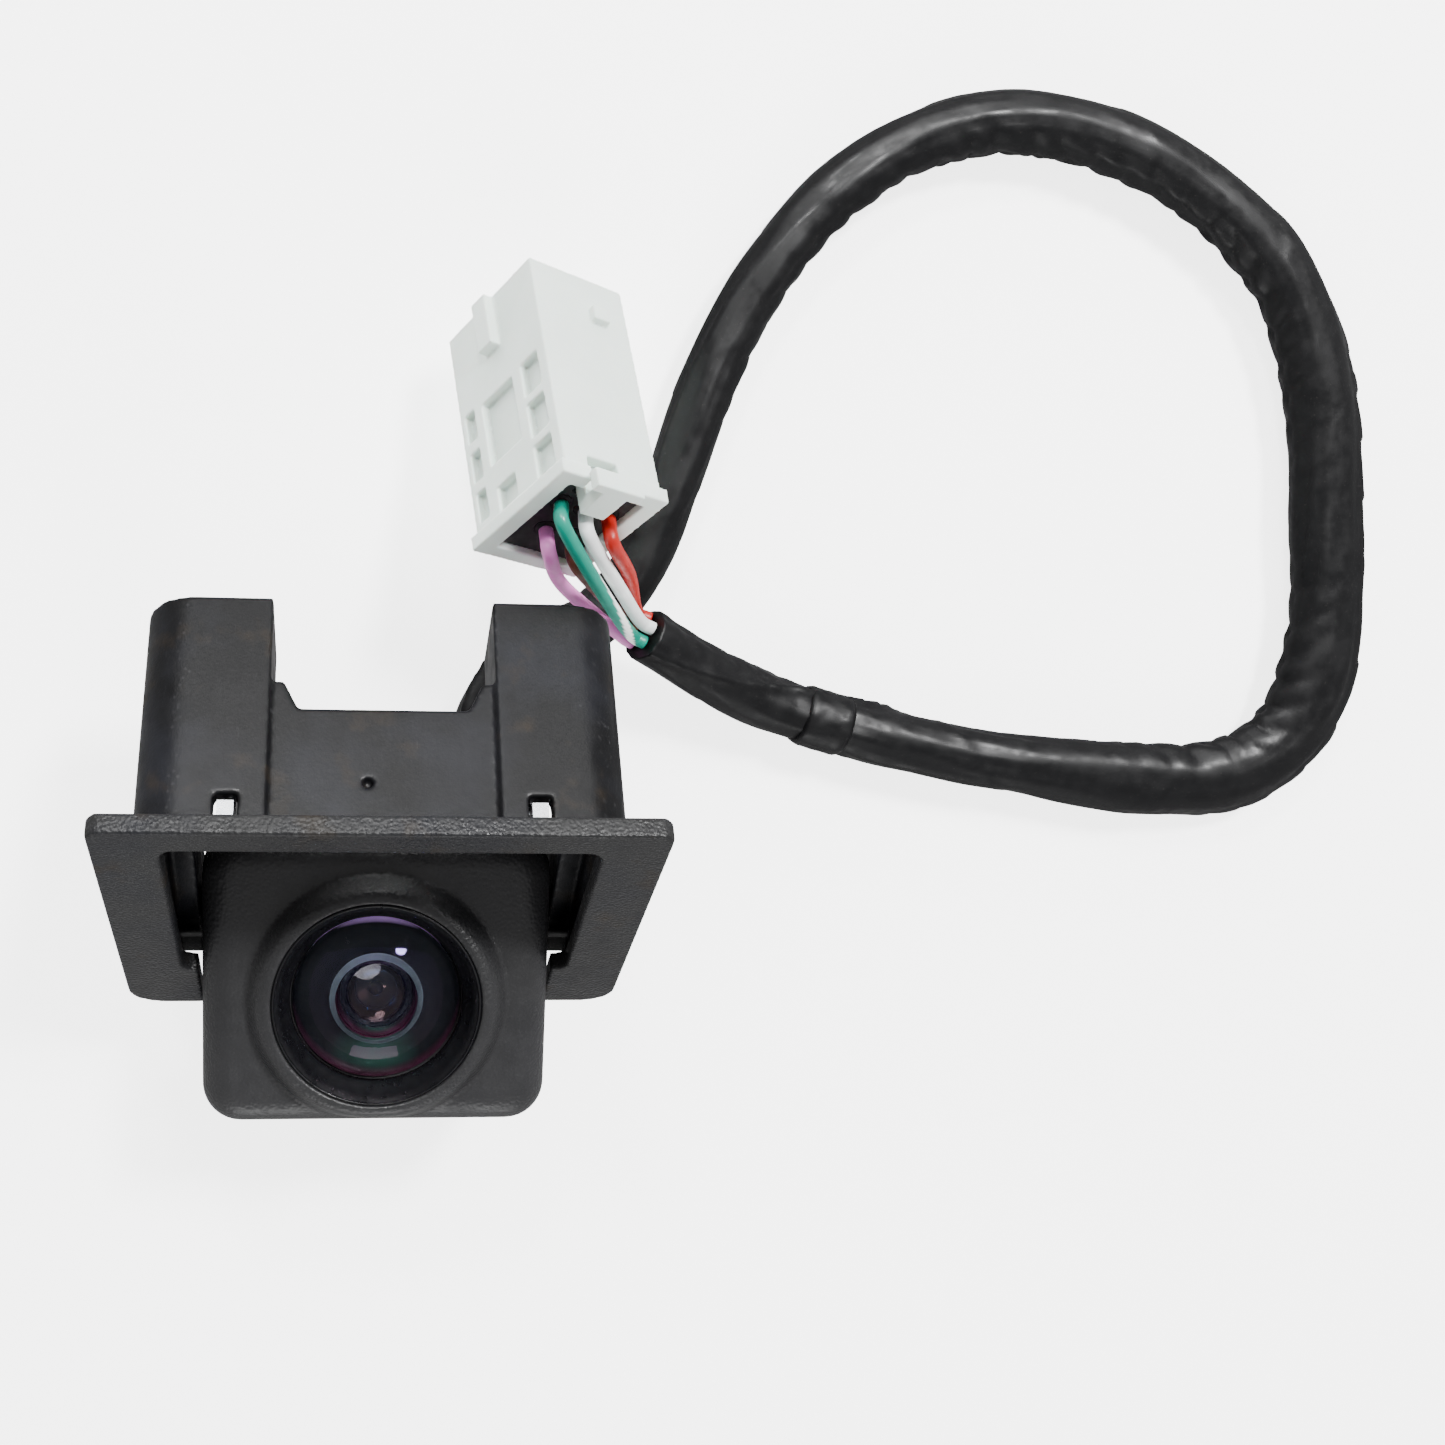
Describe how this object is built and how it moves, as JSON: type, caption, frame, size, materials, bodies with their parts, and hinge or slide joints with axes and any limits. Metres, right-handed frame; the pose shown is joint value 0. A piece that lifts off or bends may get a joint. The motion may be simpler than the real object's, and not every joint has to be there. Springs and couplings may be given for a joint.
{
  "type": "backup camera kit",
  "caption": "Vehicle backup camera in a leaning black trim bracket, with a tape-wrapped harness loop and a light grey multi-way plug.",
  "frame": {"origin": "middle of the camera and bracket's outline, on the ground under the camera's back", "axes": "+Z is the lens axis, +X runs across the trim flange, +Y points from the lens to the harness"},
  "size_m": [0.1231, 0.0973, 0.0383],
  "materials": {
    "bracket_black": "fine pebble grain",
    "case_black": "satin",
    "gloss_black": "gloss",
    "lens_black": "matt black",
    "coated_glass": "polished, coated",
    "filter_glass": "polished",
    "ring_blue": "satin anodised",
    "spring_steel": "bright",
    "seal_rubber": "matt",
    "board": "solder mask",
    "chip": "matt",
    "component": "matt",
    "wrap_tape": "satin PVC tape",
    "wire_pink": "satin",
    "wire_green": "satin",
    "wire_white": "satin",
    "wire_brown": "satin",
    "wire_red": "satin",
    "plug_grey": "satin",
    "insert_black": "satin",
    "terminal": "plated",
    "wire_seal": "matt"
  },
  "bodies": {
    "camera": {"trim_bracket": "bracket_black", "front_housing": "case_black", "rear_housing": "case_black", "housing_seal": "seal_rubber", "housing_screws": "spring_steel", "lens_hood": "gloss_black", "lens_front_element": "coated_glass", "lens_barrel": "lens_black", "lens_o_ring": "seal_rubber", "lens_retaining_ring": "ring_blue", "lens_middle_element": "coated_glass", "lens_spacer": "lens_black", "aperture_stop": "lens_black", "lens_rear_element": "coated_glass", "ir_filter": "filter_glass", "image_sensor": "chip", "sensor_board": "board", "board_header": "insert_black", "power_board": "board", "processor_chip": "chip", "board_components": "component", "board_screws": "spring_steel", "mounting_screws": "spring_steel", "cable_grommet": "seal_rubber", "harness": "wrap_tape", "wire_pink": "wire_pink", "wire_green": "wire_green", "wire_white": "wire_white", "wire_brown": "wire_brown", "wire_red": "wire_red", "connector_shell": "plug_grey", "connector_insert": "insert_black", "connector_terminals": "terminal", "connector_seals": "wire_seal"},
    "clip_left": {"clip_spring_left": "spring_steel"},
    "clip_right": {"clip_spring_right": "spring_steel"},
    "lock_tab": {"connector_lock_tab": "plug_grey"}
  },
  "joints": [
    {"name": "clip_left_flex", "type": "hinge", "parent": "camera", "child": "clip_left", "pos_m": [-0.0125, 0.01699, 0.02308], "axis": [1, 0, 0], "range_deg": [0, 7], "stiffness_Nm_per_rad": 0.05},
    {"name": "clip_right_flex", "type": "hinge", "parent": "camera", "child": "clip_right", "pos_m": [0.0125, 0.01699, 0.02308], "axis": [1, 0, 0], "range_deg": [0, 7], "stiffness_Nm_per_rad": 0.05},
    {"name": "lock_tab_slide", "type": "slide", "parent": "camera", "child": "lock_tab", "axis": [-0.0998, 0.813, -0.5736], "range_m": [0, 0.0025]}
  ]
}
